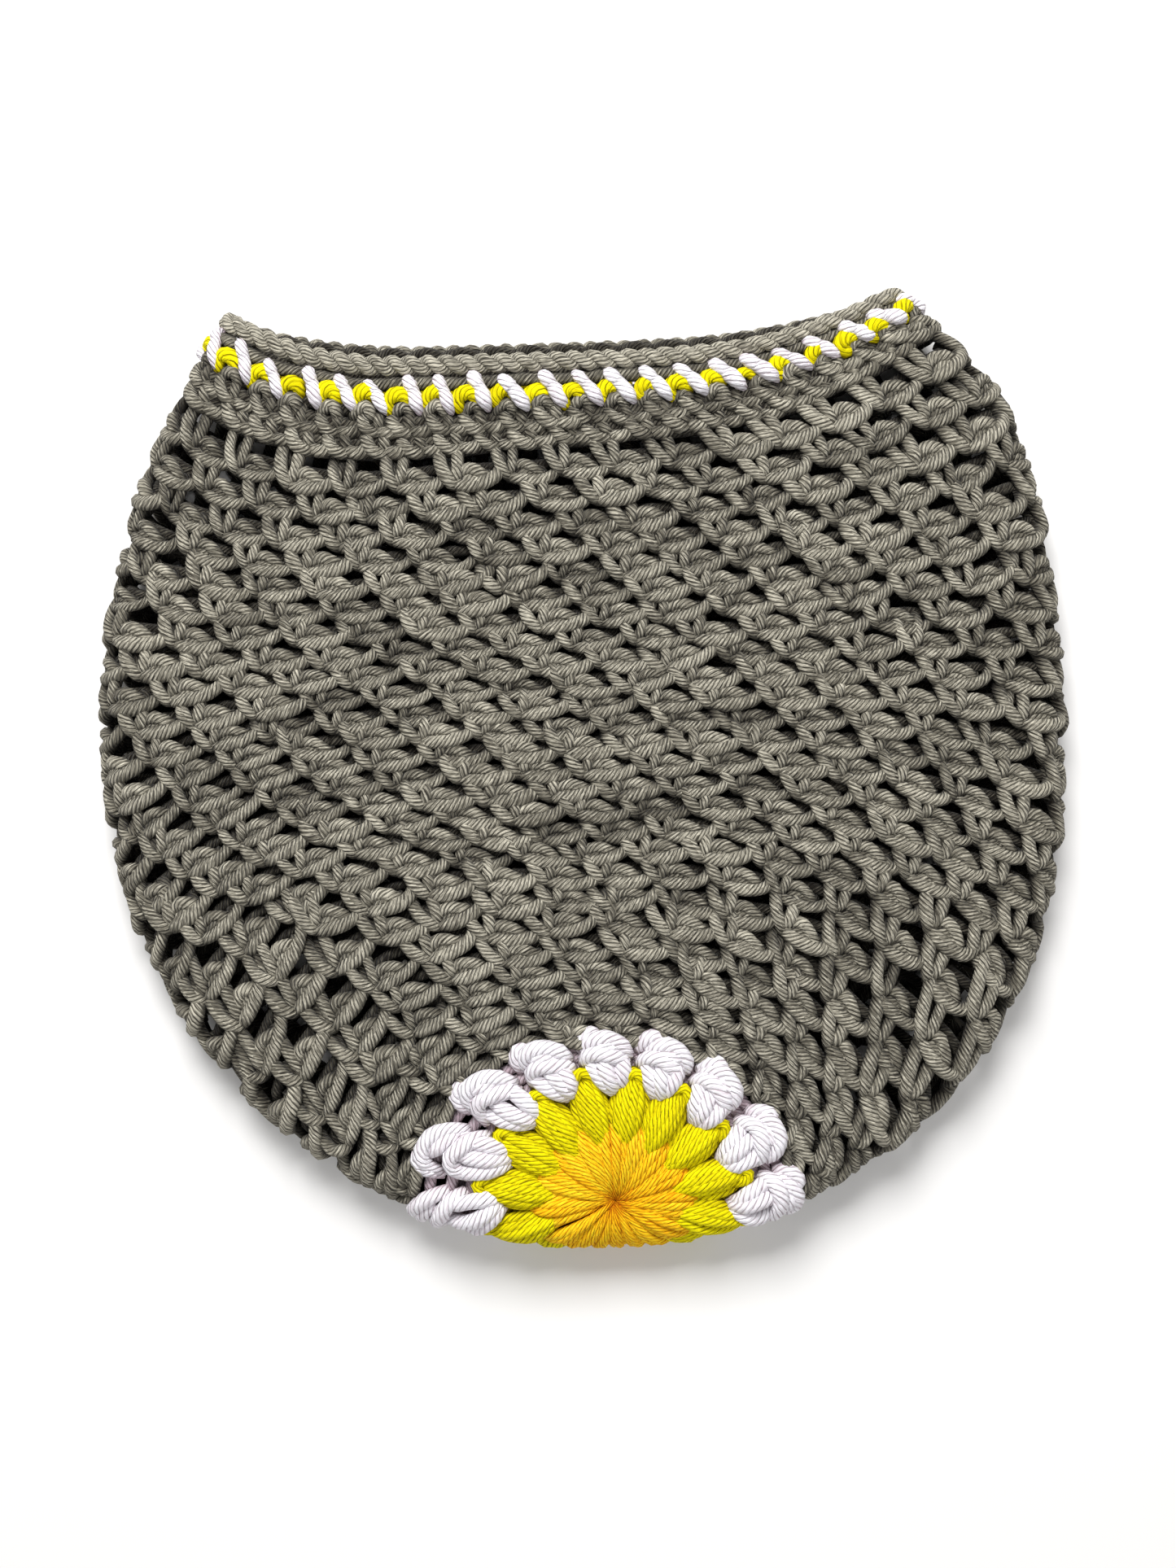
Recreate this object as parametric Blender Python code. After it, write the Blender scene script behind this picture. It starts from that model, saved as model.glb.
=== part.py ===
"""A small crocheted bag, lying on its back with its mouth towards +Y.

The bag is one soft tube of thick fabric. It starts as a flower at the pole, which sits on the
front just above the bottom fold, and it is worked in rounds up to the mouth. Every piece is a
stretch of that one wall, so all of them read the same surface: `wall_points(round, column)`.
"""

import math

import bpy
import numpy as np

# Overall sizes, in metres
BAG_WIDTH = 0.201
BAG_LENGTH = 0.197
BAG_HEIGHT = 0.0198
FOLD_HEIGHT = 0.0080
FRONT_NOSE = 0.0060
BACK_NOSE = 0.0070
CROWN_REACH = 0.060
WALL = 0.0044
PIECE_GAP = 0.0003
CORNER_LEAN = 0.38

# The flower, measured along the fabric from its pole
POLE_SIDEWAYS = 0.0067
POLE_FROM_FOLD = 0.0096
EYE_RADIUS = 0.0135
PUFF_RADIUS = 0.0265
CLUSTER_RADIUS = 0.0350
CLUSTER_LEFT_REACH = 0.17
CLUSTER_RIGHT_REACH = 0.03
FLOWER_RISE = 0.925
PUFF_COUNT = 16
PUFF_SWELL = 0.0012
CLUSTER_SWELL = 0.0014
PETAL_TAPER = 0.12

# The mouth, measured along the fabric from its edge
RIM_WIDTH = 0.0036
STRIPE_WIDTH = 0.0070
COLLAR_WIDTH = 0.0070
RIM_SWELL = 0.0004
RIM_ROUNDING = 0.0008
STITCH_COUNT = 44
STITCH_SHARE = 0.42
STITCH_LEG = 0.78
STITCH_SLANT = 0.0040
STITCH_DEPTH = 0.0012
STITCH_PROUD = 0.0005

# The front mouth dips below its corners and the back one a little less
FRONT_DIP = 0.0094
BACK_DIP = 0.0074

# The tight rounds at the mouth spread less at the folds than the body's do
LEFT_NARROWING = 0.66
RIGHT_NARROWING = 0.38

# How roundly a round leaves the side folds, as shares of its width. The first rounds are
# rounder, up to a share of the way to the mouth.
ROUND_PULL = 0.32
FIRST_ROUND_PULL = 0.62
PULL_SETTLED = 0.45

# The outline from the left mouth corner round the bottom to the right one,
# as shares of half the width and half the length
OUTLINE = (
    # across, along
    (-0.737, 0.943),
    (-0.840, 0.770),
    (-0.925, 0.550),
    (-0.980, 0.320),
    (-0.999, 0.100),
    (-0.980, -0.130),
    (-0.918, -0.360),
    (-0.795, -0.580),
    (-0.620, -0.765),
    (-0.410, -0.900),
    (-0.170, -0.982),
    (0.060, -1.000),
    (0.280, -0.972),
    (0.480, -0.900),
    (0.680, -0.775),
    (0.835, -0.600),
    (0.940, -0.390),
    (0.990, -0.160),
    (1.000, 0.090),
    (0.980, 0.360),
    (0.932, 0.610),
    (0.850, 0.800),
    (0.660, 0.985),
)

# How finely the faceted walls are cut
BODY_COLUMNS = 64
BODY_ROWS = 16
FOLD_CROWDING = 0.3
FLOWER_STEPS = 4
FLOWER_ROWS = 4
EYE_ROWS = 3
BAND_COLUMNS = 64
OUTLINE_STEPS = 24
LOOP_SAMPLES = 360
NOSE_STEPS = 200
OUTLINE_RUN_ON = 0.040
NOSE_REACH = 0.030
BLEND_END = 0.072

# Small steps between places, for finding which way the wall faces
NEAR_EDGE = 1e-4
PROBE_REACH = 4e-4
PROBE_SHARE = 0.002


def curve_through(stations, steps):
    """A Catmull-Rom curve through the stations, with `steps` points for each stretch."""
    ends = [2 * stations[0] - stations[1], *stations, 2 * stations[-1] - stations[-2]]
    points = []
    for before, start, end, after in zip(ends, ends[1:], ends[2:], ends[3:]):
        for share in np.arange(steps) / steps:
            bend = 2 * before - 5 * start + 4 * end - after
            twist = 3 * start - before - 3 * end + after
            points.append(
                start + share * ((end - before) + share * (bend + share * twist)) / 2
            )
    return np.array([*points, stations[-1]])


def lengths_along(points):
    steps = np.linalg.norm(np.diff(points, axis=0), axis=1)
    return np.concatenate([[0.0], np.cumsum(steps)])


def fitted(points):
    """The curve scaled so that the bag's outer faces are centred and have the named sizes."""
    low = np.array([WALL - BAG_WIDTH, WALL - BAG_LENGTH]) / 2
    high = np.array([BAG_WIDTH - WALL, BAG_LENGTH - CORNER_LEAN * WALL]) / 2
    least, most = points.min(axis=0), points.max(axis=0)
    return low + (points - least) * (high - low) / (most - least)


def run_on(points):
    """The outline carried straight on past both mouth corners."""
    first = points[0] - points[1]
    last = points[-1] - points[-2]
    before = points[0] + OUTLINE_RUN_ON * first / np.linalg.norm(first)
    after = points[-1] + OUTLINE_RUN_ON * last / np.linalg.norm(last)
    return np.vstack([before, points, after])


EDGE = run_on(fitted(curve_through([np.array(row) for row in OUTLINE], OUTLINE_STEPS)))
EDGE_ALONG = lengths_along(EDGE)
LEFT_CORNER = OUTLINE_RUN_ON
RIGHT_CORNER = EDGE_ALONG[-1] - OUTLINE_RUN_ON
EDGE_TANGENT = np.gradient(EDGE, EDGE_ALONG, axis=0)
EDGE_TANGENT /= np.linalg.norm(EDGE_TANGENT, axis=1)[:, None]
EDGE_INWARD = np.column_stack([-EDGE_TANGENT[:, 1], EDGE_TANGENT[:, 0]])


def on_edge(along):
    """The outline's point and its inward direction at a distance along it."""
    place = np.array([np.interp(along, EDGE_ALONG, EDGE[:, k]) for k in (0, 1)])
    inward = np.array([np.interp(along, EDGE_ALONG, EDGE_INWARD[:, k]) for k in (0, 1)])
    return place, inward / np.linalg.norm(inward)


def foot_on_edge(points):
    """For each flat point: its distance inside the outline, the foot there and the way in."""
    start, run = EDGE[:-1], np.diff(EDGE, axis=0)
    share = ((points[:, None, :] - start) * run).sum(axis=2) / (run**2).sum(axis=1)
    share = np.clip(share, 0.0, 1.0)
    feet = start + share[:, :, None] * run
    nearest = np.linalg.norm(points[:, None, :] - feet, axis=2).argmin(axis=1)
    rows = np.arange(len(points))
    share = share[rows, nearest][:, None]
    feet = feet[rows, nearest]
    inward = (1 - share) * EDGE_INWARD[nearest] + share * EDGE_INWARD[nearest + 1]
    away = points - feet
    distance = np.linalg.norm(away, axis=1)
    inside = np.where((away * inward).sum(axis=1) < 0, -1.0, 1.0)
    straight = away * (inside / np.maximum(distance, NEAR_EDGE))[:, None]
    way = np.where((distance > NEAR_EDGE)[:, None], straight, inward)
    return distance * inside, feet, way


FRONT_LEVEL = BAG_HEIGHT - WALL / 2
BACK_LEVEL = WALL / 2


def nose(inset, reach):
    """The rounded fold: 0 at the outline and 1 from `reach` inwards."""
    return np.sqrt(1 - (1 - np.clip(inset / reach, 0.0, 1.0)) ** 2)


def smooth(share):
    share = np.clip(share, 0.0, 1.0)
    return share * share * (3 - 2 * share)


def front_height(inset):
    crown = FRONT_LEVEL - FOLD_HEIGHT - FRONT_NOSE
    rise = FRONT_NOSE * nose(inset, FRONT_NOSE) + crown * smooth(inset / CROWN_REACH)
    return FOLD_HEIGHT + rise


def back_height(inset):
    return FOLD_HEIGHT - (FOLD_HEIGHT - BACK_LEVEL) * nose(inset, BACK_NOSE)


def nose_table(height):
    """Inset against distance along the fabric, from the outline to where both agree."""
    inset = NOSE_REACH * (1 - np.cos(np.linspace(0, math.pi / 2, NOSE_STEPS)))
    along = lengths_along(np.column_stack([inset, height(inset)]))
    return along * NOSE_REACH / along[-1], inset


FRONT_NOSE_TABLE = nose_table(front_height)
BACK_NOSE_TABLE = nose_table(back_height)


def folded(points, front):
    """Flat points inside the outline, on the front or the back, laid on the wall's middle."""
    distance, feet, way = foot_on_edge(points)
    distance = np.maximum(distance, 0.0)
    inset = np.where(
        front,
        np.interp(distance, *FRONT_NOSE_TABLE),
        np.interp(distance, *BACK_NOSE_TABLE),
    )
    inset = np.where(distance < NOSE_REACH, inset, distance)
    flat = feet + way * inset[:, None]
    height = np.where(front, front_height(inset), back_height(inset))
    return np.column_stack([flat, height])


LOW_EDGE = np.array([POLE_SIDEWAYS, EDGE[:, 1].min()])
POLE_ALONG = EDGE_ALONG[np.linalg.norm(EDGE - LOW_EDGE, axis=1).argmin()]
POLE_FOOT, POLE_INWARD = on_edge(POLE_ALONG)
POLE = POLE_FOOT + POLE_FROM_FOLD * POLE_INWARD


def unrolled(reach, angle):
    """Places about the pole as if the front and the back lay flat side by side."""
    side_reach = np.where(np.cos(angle) > 0, CLUSTER_RIGHT_REACH, CLUSTER_LEFT_REACH)
    widening = side_reach * smooth((reach - PUFF_RADIUS) / (CLUSTER_RADIUS - PUFF_RADIUS))
    radius = reach * (1 + widening * np.cos(angle) ** 2)
    up = radius * np.sin(angle)
    up = np.where(up > 0, FLOWER_RISE * up, up)
    return POLE + np.column_stack([radius * np.cos(angle), up])


def fold_over(points):
    """Unrolled places turned into places on the front, or on the back past the fold."""
    distance, feet, way = foot_on_edge(points)
    front = distance >= 0
    return np.where(front[:, None], points, 2 * feet - points), front


def turn_angle(share, reach):
    """The angle about the pole. Half of a round's shares are on the front, above the fold."""
    crossing = math.asin(POLE_FROM_FOLD / max(reach, EYE_RADIUS + PIECE_GAP / 2))
    share = np.mod(share, 1.0)
    front = 2 * share * (math.pi + 2 * crossing) - crossing
    back = math.pi + crossing + (2 * share - 1) * (math.pi - 2 * crossing)
    return np.where(share < 0.5, front, back)


def past_flower(reach):
    """0 where rounds still follow the flower and 1 where they follow the bag's shape."""
    return smooth((reach - CLUSTER_RADIUS) / (BLEND_END - CLUSTER_RADIUS))


MOUTH_REACH = on_edge(LEFT_CORNER)[0][1] - POLE[1] - FRONT_DIP
MOUTH_MIDDLE = (on_edge(LEFT_CORNER)[0] + on_edge(RIGHT_CORNER)[0]) / 2
LEFT_START = CLUSTER_RADIUS * (1 + CLUSTER_LEFT_REACH)
RIGHT_START = CLUSTER_RADIUS * (1 + CLUSTER_RIGHT_REACH)
BODY_REACH = MOUTH_REACH - RIM_WIDTH - STRIPE_WIDTH - COLLAR_WIDTH
BODY_SHARE = (BODY_REACH - CLUSTER_RADIUS) / (MOUTH_REACH - CLUSTER_RADIUS)


def arc(start, start_way, end, end_way, middle, handle):
    """A flat arc that leaves both ends square to the outline and passes through `middle`."""
    share = np.linspace(0.0, 1.0, LOOP_SAMPLES // 2, endpoint=False)[:, None]
    rest = 1 - share
    pull = handle * np.linalg.norm(end - start)
    first, last = start + pull * start_way, end + pull * end_way
    curve = (
        rest**3 * start
        + 3 * rest**2 * share * first
        + 3 * rest * share**2 * last
        + share**3 * end
    )
    halfway = (start + 3 * first + 3 * last + end) / 8
    return curve + 16 * (share * rest) ** 2 * (middle - halfway)


def side_progress(progress, narrowing):
    """How far up a side fold a round is that is so far up the middle."""
    if progress > BODY_SHARE:
        return 1 - narrowing * (1 - progress)
    return progress * (1 - narrowing * (1 - BODY_SHARE)) / BODY_SHARE


def loop(reach):
    """One round as a closed line of places on the wall, from the right fold over the front."""
    progress = (reach - CLUSTER_RADIUS) / (MOUTH_REACH - CLUSTER_RADIUS)
    right_run = RIGHT_CORNER - POLE_ALONG - RIGHT_START
    left_run = POLE_ALONG - LEFT_CORNER - LEFT_START
    right_side = RIGHT_START + right_run * side_progress(progress, RIGHT_NARROWING)
    left_side = LEFT_START + left_run * side_progress(progress, LEFT_NARROWING)
    right, right_way = on_edge(POLE_ALONG + right_side)
    left, left_way = on_edge(POLE_ALONG - left_side)
    across = POLE[0] + progress * (MOUTH_MIDDLE[0] - POLE[0])
    front_middle = np.array([across, POLE[1] + reach])
    back_start = POLE_FOOT[1] + CLUSTER_RADIUS - POLE_FROM_FOLD
    back_end = MOUTH_MIDDLE[1] - BACK_DIP
    back_middle = np.array([across, back_start + progress * (back_end - back_start)])
    rounder = (FIRST_ROUND_PULL - ROUND_PULL) * (1 - smooth(progress / PULL_SETTLED))
    handle = ROUND_PULL + rounder
    flat = np.vstack(
        [
            arc(right, right_way, left, left_way, front_middle, handle),
            arc(left, left_way, right, right_way, back_middle, handle),
        ]
    )
    front = np.arange(LOOP_SAMPLES) < LOOP_SAMPLES // 2
    blend = past_flower(reach)
    if blend < 1:
        _, feet, _ = foot_on_edge(flat)
        spread = np.where(front[:, None], flat, 2 * feet - flat)
        angle = turn_angle(np.arange(LOOP_SAMPLES) / LOOP_SAMPLES, reach)
        mixed = blend * spread + (1 - blend) * unrolled(reach, angle)
        flat, front = fold_over(mixed)
    return folded(flat, front)


def wall_points(reach, columns):
    """Places on one round, half of its columns on the front. Next to the flower they are
    even in angle about its pole, and from there they become even along the wall."""
    line = loop(reach)
    closed = np.vstack([line, line[:1]])
    along = lengths_along(closed)
    share = np.mod(columns, 1.0)
    by_turn = np.interp(share * LOOP_SAMPLES, np.arange(LOOP_SAMPLES + 1), along)
    even = np.interp(share, [0.0, 0.5, 1.0], along[[0, LOOP_SAMPLES // 2, -1]])
    wanted = by_turn + past_flower(reach) * (even - by_turn)
    return np.column_stack([np.interp(wanted, along, closed[:, k]) for k in range(3)])


def grid(place, reaches, columns):
    """Places and outward directions for each reach and column."""
    points, outward = [], []
    for reach in reaches:
        here = np.asarray(columns(reach))
        points.append(place(reach, here))
        up = place(reach + PROBE_REACH, here) - place(reach - PROBE_REACH, here)
        across = place(reach, here + PROBE_SHARE) - place(reach, here - PROBE_SHARE)
        normal = np.cross(across, up)
        outward.append(normal / np.linalg.norm(normal, axis=1)[:, None])
    return np.array(points), -np.array(outward)


def flower_place(reach, share):
    """Places about the pole, with half of the columns on the front."""
    return folded(*fold_over(unrolled(reach, turn_angle(share, reach))))


def material(name, colour, roughness):
    made = bpy.data.materials.new(name)
    made.use_nodes = True
    shader = made.node_tree.nodes["Principled BSDF"]
    shader.inputs["Base Color"].default_value = (*colour, 1.0)
    shader.inputs["Roughness"].default_value = roughness
    shader.inputs["Metallic"].default_value = 0.0
    return made


def add_object(name, vertices, faces, finish):
    mesh = bpy.data.meshes.new(name)
    mesh.from_pydata([tuple(v) for v in vertices], [], faces)
    mesh.validate()
    mesh.shade_smooth()
    mesh.materials.append(finish)
    piece = bpy.data.objects.new(name, mesh)
    bpy.context.scene.collection.objects.link(piece)
    return piece


def band(name, points, outward, inner, outer, finish, kept=None):
    """A closed ring of wall. `inner` and `outer` are offsets from the wall's middle, and
    `kept` may say which cells are there. What would swell below the floor is flattened."""
    rows, columns = points.shape[:2]
    inside = points + outward * np.broadcast_to(inner, (rows, columns))[..., None]
    outside = points + outward * np.broadcast_to(outer, (rows, columns))[..., None]
    outside[..., 2] = np.maximum(outside[..., 2], 0.0)
    if kept is None:
        kept = np.ones((rows - 1, columns), dtype=bool)
    shift = rows * columns

    def corner(row, column):
        return row * columns + column % columns

    def there(row, column):
        return 0 <= row < rows - 1 and kept[row, column % columns]

    faces = []
    for row in range(rows - 1):
        for column in range(columns):
            if not there(row, column):
                continue
            a, b = corner(row, column), corner(row, column + 1)
            d, c = corner(row + 1, column), corner(row + 1, column + 1)
            faces.append((a, b, c, d))
            faces.append((c + shift, b + shift, a + shift, d + shift))
            if not there(row - 1, column):
                faces.append((a + shift, b + shift, b, a))
            if not there(row + 1, column):
                faces.append((d + shift, d, c, c + shift))
            if not there(row, column - 1):
                faces.append((d + shift, a + shift, a, d))
            if not there(row, column + 1):
                faces.append((b + shift, c + shift, c, b))
    everything = np.vstack([inside.reshape(-1, 3), outside.reshape(-1, 3)])
    used = sorted({index for face in faces for index in face})
    renumber = {old: new for new, old in enumerate(used)}
    faces = [tuple(renumber[index] for index in face) for face in faces]
    return add_object(name, everything[used], faces, finish)


def even_columns(count):
    shares = np.arange(count) / count
    return lambda reach: shares


def fold_columns(count):
    """Columns that stand closer together at the two side folds."""
    shares = np.arange(count) / count
    shift = FOLD_CROWDING * np.sin(4 * math.pi * shares) / (4 * math.pi)
    return lambda reach: shares - past_flower(reach) * shift


def flower_eye(finish):
    """The disc at the pole."""
    columns = PUFF_COUNT * FLOWER_STEPS
    shares = np.arange(1, EYE_ROWS + 1) / EYE_ROWS
    reaches = shares * (EYE_RADIUS - PIECE_GAP / 2)
    points, outward = grid(flower_place, reaches, even_columns(columns))
    middle, middle_out = grid(flower_place, [2 * PROBE_REACH], even_columns(4))
    hub = middle[0].mean(axis=0)
    hub_out = middle_out[0].mean(axis=0)
    hub_out /= np.linalg.norm(hub_out)
    vertices = [
        hub - hub_out * WALL / 2,
        *(points - outward * WALL / 2).reshape(-1, 3),
        hub + hub_out * WALL / 2,
        *(points + outward * WALL / 2).reshape(-1, 3),
    ]
    shift = EYE_ROWS * columns + 1
    faces = []
    for column in range(columns):
        following = (column + 1) % columns
        faces.append((0, following + 1, column + 1))
        faces.append((shift, shift + column + 1, shift + following + 1))
        for row in range(EYE_ROWS - 1):
            a, b = 1 + row * columns + column, 1 + row * columns + following
            c, d = b + columns, a + columns
            faces.append((a, b, c, d))
            faces.append((c + shift, b + shift, a + shift, d + shift))
        faces.append((d + shift, d, c, c + shift))
    return add_object("flower_centre", vertices, faces, finish)


def petal_round(name, start, end, offset, swell, finish):
    """A round of plump stitches about the flower, `offset` of a petal turned."""
    columns = PUFF_COUNT * FLOWER_STEPS
    reaches = np.linspace(start + PIECE_GAP / 2, end - PIECE_GAP / 2, FLOWER_ROWS + 1)
    points, outward = grid(flower_place, reaches, even_columns(columns))
    shares = np.arange(columns) / columns
    turns = np.array([turn_angle(shares, reach) for reach in reaches]) / (2 * math.pi)
    across = np.abs(np.sin(math.pi * (PUFF_COUNT * turns + offset)))
    lengthwise = np.linspace(PETAL_TAPER, 1 - PETAL_TAPER, FLOWER_ROWS + 1)
    along = np.sin(math.pi * lengthwise)
    outer = WALL / 2 + swell * (2 * along[:, None] * across - 1)
    return band(name, points, outward, -WALL / 2, outer, finish)


def bag_body(finish):
    """The moss-stitch tube between the flower and the collar, open at both ends."""
    start, end = CLUSTER_RADIUS + PIECE_GAP / 2, BODY_REACH - PIECE_GAP / 2
    reaches = np.linspace(start, end, BODY_ROWS + 1)
    points, outward = grid(wall_points, reaches, fold_columns(BODY_COLUMNS))
    return band("bag_body", points, outward, -WALL / 2, WALL / 2, finish)


def collar_band(finish):
    reaches = (BODY_REACH + PIECE_GAP / 2, BODY_REACH + COLLAR_WIDTH - PIECE_GAP / 2)
    points, outward = grid(wall_points, reaches, fold_columns(BAND_COLUMNS))
    return band("collar_band", points, outward, -WALL / 2, WALL / 2, finish)


def stripe_grid():
    """The stripe's places, with columns that slant along the white stitches' sides."""
    end = MOUTH_REACH - RIM_WIDTH - PIECE_GAP / 2
    start = end - STRIPE_WIDTH + PIECE_GAP
    heads = start + STITCH_LEG * (end - start)
    shares = np.arange(STITCH_COUNT) / STITCH_COUNT
    edges = np.sort(np.concatenate([shares, shares + STITCH_SHARE / STITCH_COUNT]))
    slant = STITCH_SLANT / lengths_along(loop(end))[-1]

    def slanted(reach):
        return edges + slant * (reach - start) / (end - start)

    return grid(wall_points, [start, (start + heads) / 2, heads, end], slanted)


def stripe_band(finish):
    """The yellow round, thinner by the depth of the white stitches that lie on it."""
    points, outward = stripe_grid()
    outer = WALL / 2 - STITCH_DEPTH - PIECE_GAP
    return band("stripe_band", points, outward, -WALL / 2, outer, finish)


def stripe_stitches(finish):
    """The white slanting stitches, joined along their heads like teeth on a comb."""
    points, outward = stripe_grid()
    kept = np.ones((3, 2 * STITCH_COUNT), dtype=bool)
    kept[:2, 1::2] = False
    inner = WALL / 2 - STITCH_DEPTH
    outer = WALL / 2 + STITCH_PROUD
    return band("stripe_stitches", points, outward, inner, outer, finish, kept)


def rim_edge(finish):
    """The last round, a plump braid that stands a little proud on both faces."""
    start = MOUTH_REACH - RIM_WIDTH + PIECE_GAP / 2
    reaches = [start, (start + MOUTH_REACH) / 2, MOUTH_REACH]
    points, outward = grid(wall_points, reaches, fold_columns(BAND_COLUMNS))
    swell = np.array([0.0, RIM_SWELL, -RIM_ROUNDING])[:, None]
    return band(
        "rim_edge", points, outward, -WALL / 2 - swell, WALL / 2 + swell, finish
    )


def clear_scene():
    for old in list(bpy.data.objects):
        bpy.data.objects.remove(old, do_unlink=True)


def main():
    clear_scene()
    taupe = material("taupe_yarn", (0.215, 0.190, 0.145), 0.85)
    white = material("white_yarn", (0.85, 0.85, 0.87), 0.80)
    yellow = material("yellow_yarn", (0.76, 0.62, 0.005), 0.80)
    orange = material("orange_yarn", (0.95, 0.38, 0.015), 0.80)
    flower_eye(orange)
    petal_round("petal_ring", EYE_RADIUS, PUFF_RADIUS, 0.0, PUFF_SWELL, yellow)
    petal_round("cluster_ring", PUFF_RADIUS, CLUSTER_RADIUS, 0.5, CLUSTER_SWELL, white)
    bag_body(taupe)
    collar_band(taupe)
    stripe_band(yellow)
    stripe_stitches(white)
    rim_edge(taupe)


main()
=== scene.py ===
"""The looks of the crocheted bag: every round is laid in strands of plied yarn on the wall.

Lengths are in metres. The wall is the same surface that the solids are cut from: a flat
outline, a rounded fold all along it, and rounds that start as circles about the flower.
"""

import math

import bpy
import numpy as np
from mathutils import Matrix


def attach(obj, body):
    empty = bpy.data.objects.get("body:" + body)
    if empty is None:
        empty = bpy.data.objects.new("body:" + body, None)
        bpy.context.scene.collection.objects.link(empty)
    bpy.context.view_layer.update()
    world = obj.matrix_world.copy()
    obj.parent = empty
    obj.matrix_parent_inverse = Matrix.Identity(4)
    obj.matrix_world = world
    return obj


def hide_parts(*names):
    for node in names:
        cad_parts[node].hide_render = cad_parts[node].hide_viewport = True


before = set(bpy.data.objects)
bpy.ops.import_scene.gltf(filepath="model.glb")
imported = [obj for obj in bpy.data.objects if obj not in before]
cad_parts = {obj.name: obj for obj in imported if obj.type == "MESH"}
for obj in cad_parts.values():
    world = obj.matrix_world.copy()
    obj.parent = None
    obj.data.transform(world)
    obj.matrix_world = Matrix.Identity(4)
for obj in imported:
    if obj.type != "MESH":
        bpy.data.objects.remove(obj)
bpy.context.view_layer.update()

# The bag's own sizes, as in the solids
BAG_WIDTH = 0.201
BAG_LENGTH = 0.197
BAG_HEIGHT = 0.0198
FOLD_HEIGHT = 0.0080
FRONT_NOSE = 0.0060
BACK_NOSE = 0.0070
CROWN_REACH = 0.060
WALL = 0.0044
CORNER_LEAN = 0.38
POLE_SIDEWAYS = 0.0067
POLE_FROM_FOLD = 0.0096
EYE_RADIUS = 0.0135
PUFF_RADIUS = 0.0265
CLUSTER_RADIUS = 0.0350
CLUSTER_LEFT_REACH = 0.17
CLUSTER_RIGHT_REACH = 0.03
FLOWER_RISE = 0.925
PUFF_COUNT = 16
RIM_WIDTH = 0.0036
STRIPE_WIDTH = 0.0070
COLLAR_WIDTH = 0.0070
STITCH_COUNT = 44
FRONT_DIP = 0.0094
BACK_DIP = 0.0062
OUTLINE = (
    # across, along
    (-0.737, 0.943),
    (-0.840, 0.770),
    (-0.925, 0.550),
    (-0.980, 0.320),
    (-0.999, 0.100),
    (-0.980, -0.130),
    (-0.918, -0.360),
    (-0.795, -0.580),
    (-0.620, -0.765),
    (-0.410, -0.900),
    (-0.170, -0.982),
    (0.060, -1.000),
    (0.280, -0.972),
    (0.480, -0.900),
    (0.680, -0.775),
    (0.835, -0.600),
    (0.940, -0.390),
    (0.990, -0.160),
    (1.000, 0.090),
    (0.980, 0.360),
    (0.932, 0.610),
    (0.850, 0.800),
    (0.660, 0.985),
)
OUTLINE_STEPS = 24
LOOP_SAMPLES = 480
NOSE_SAMPLES = 200
OUTLINE_RUN_ON = 0.040
NOSE_REACH = 0.030
BLEND_END = 0.072
# Nearer to the outline than this, the way in is the outline's own
ON_EDGE = 1e-4
TINY = 1e-12
MM = 0.001
# Pixels of the photograph in a metre
PHOTO_SCALE = 5920.0

# The grids that the wall is sampled on, and the share of a cell kept clear at their last rows
ROUND_STEP = 0.0012
FIRST_REACH = 0.027
PAST_MOUTH = 0.006
FLOWER_STEP = 0.0007
FLOWER_SPAN_END = 0.056
LAST_CELL = 1.001

# Yarn: worsted weight, plied with an S twist. Radii of the strands in the wall and the flower
YARN = 0.00126
FLOWER_YARN = 0.00125
PLIES = 7
SIDES = 8
LUMPS = 0.045
# Painted shade: a strand's colour is darkest at the wall's middle and lightest at this height
# over it
PAINTED_SHADE_CLEARANCE = 0.0026
# Strands start at different places of the twist, and none goes below the floor's clearance
TWIST_START = 0.02
FLOOR_CLEARANCE = 0.00015

# Rounds lie closer together over the middle of the front than at the side folds. They run
# straight there and bend down towards the folds, more sharply on the left.
MIDDLE_PITCHES = ((0, 27.0), (15, 27.5), (20, 30.0), (25, 38.0))
LEFT_BEND = 5.0
RIGHT_BEND = 3.0
# The tight rounds at the mouth narrow again at the folds
LEFT_NARROWING = 0.66
RIGHT_NARROWING = 0.38

# The moss stitch, drawn on one stitch pair of the photograph
PAIR_WIDTH = 83.0
ROUND_HEIGHT = 29.0
MOSS_ROUNDS = 26
FIRST_PAIRS = 24
MOST_PAIRS = 32
GROWING_ROUNDS = 8
# Each round starts this share of a pair after the one before it, give or take the change
ROUND_LEAN = 0.385
LEAN_CHANGE = 0.09
# How uneven stitches are: pixels across, pixels up and mm in height, then turn and thickness
JITTER = (2.6, 1.2, 0.25)
STITCH_TURN = 0.09
STITCH_PLUMP = 0.07
# A stitch turns about the point at its width over this
TURN_ABOUT = 3
# A piece takes no further round once it has this many points
POINT_LIMIT = 86000

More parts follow.
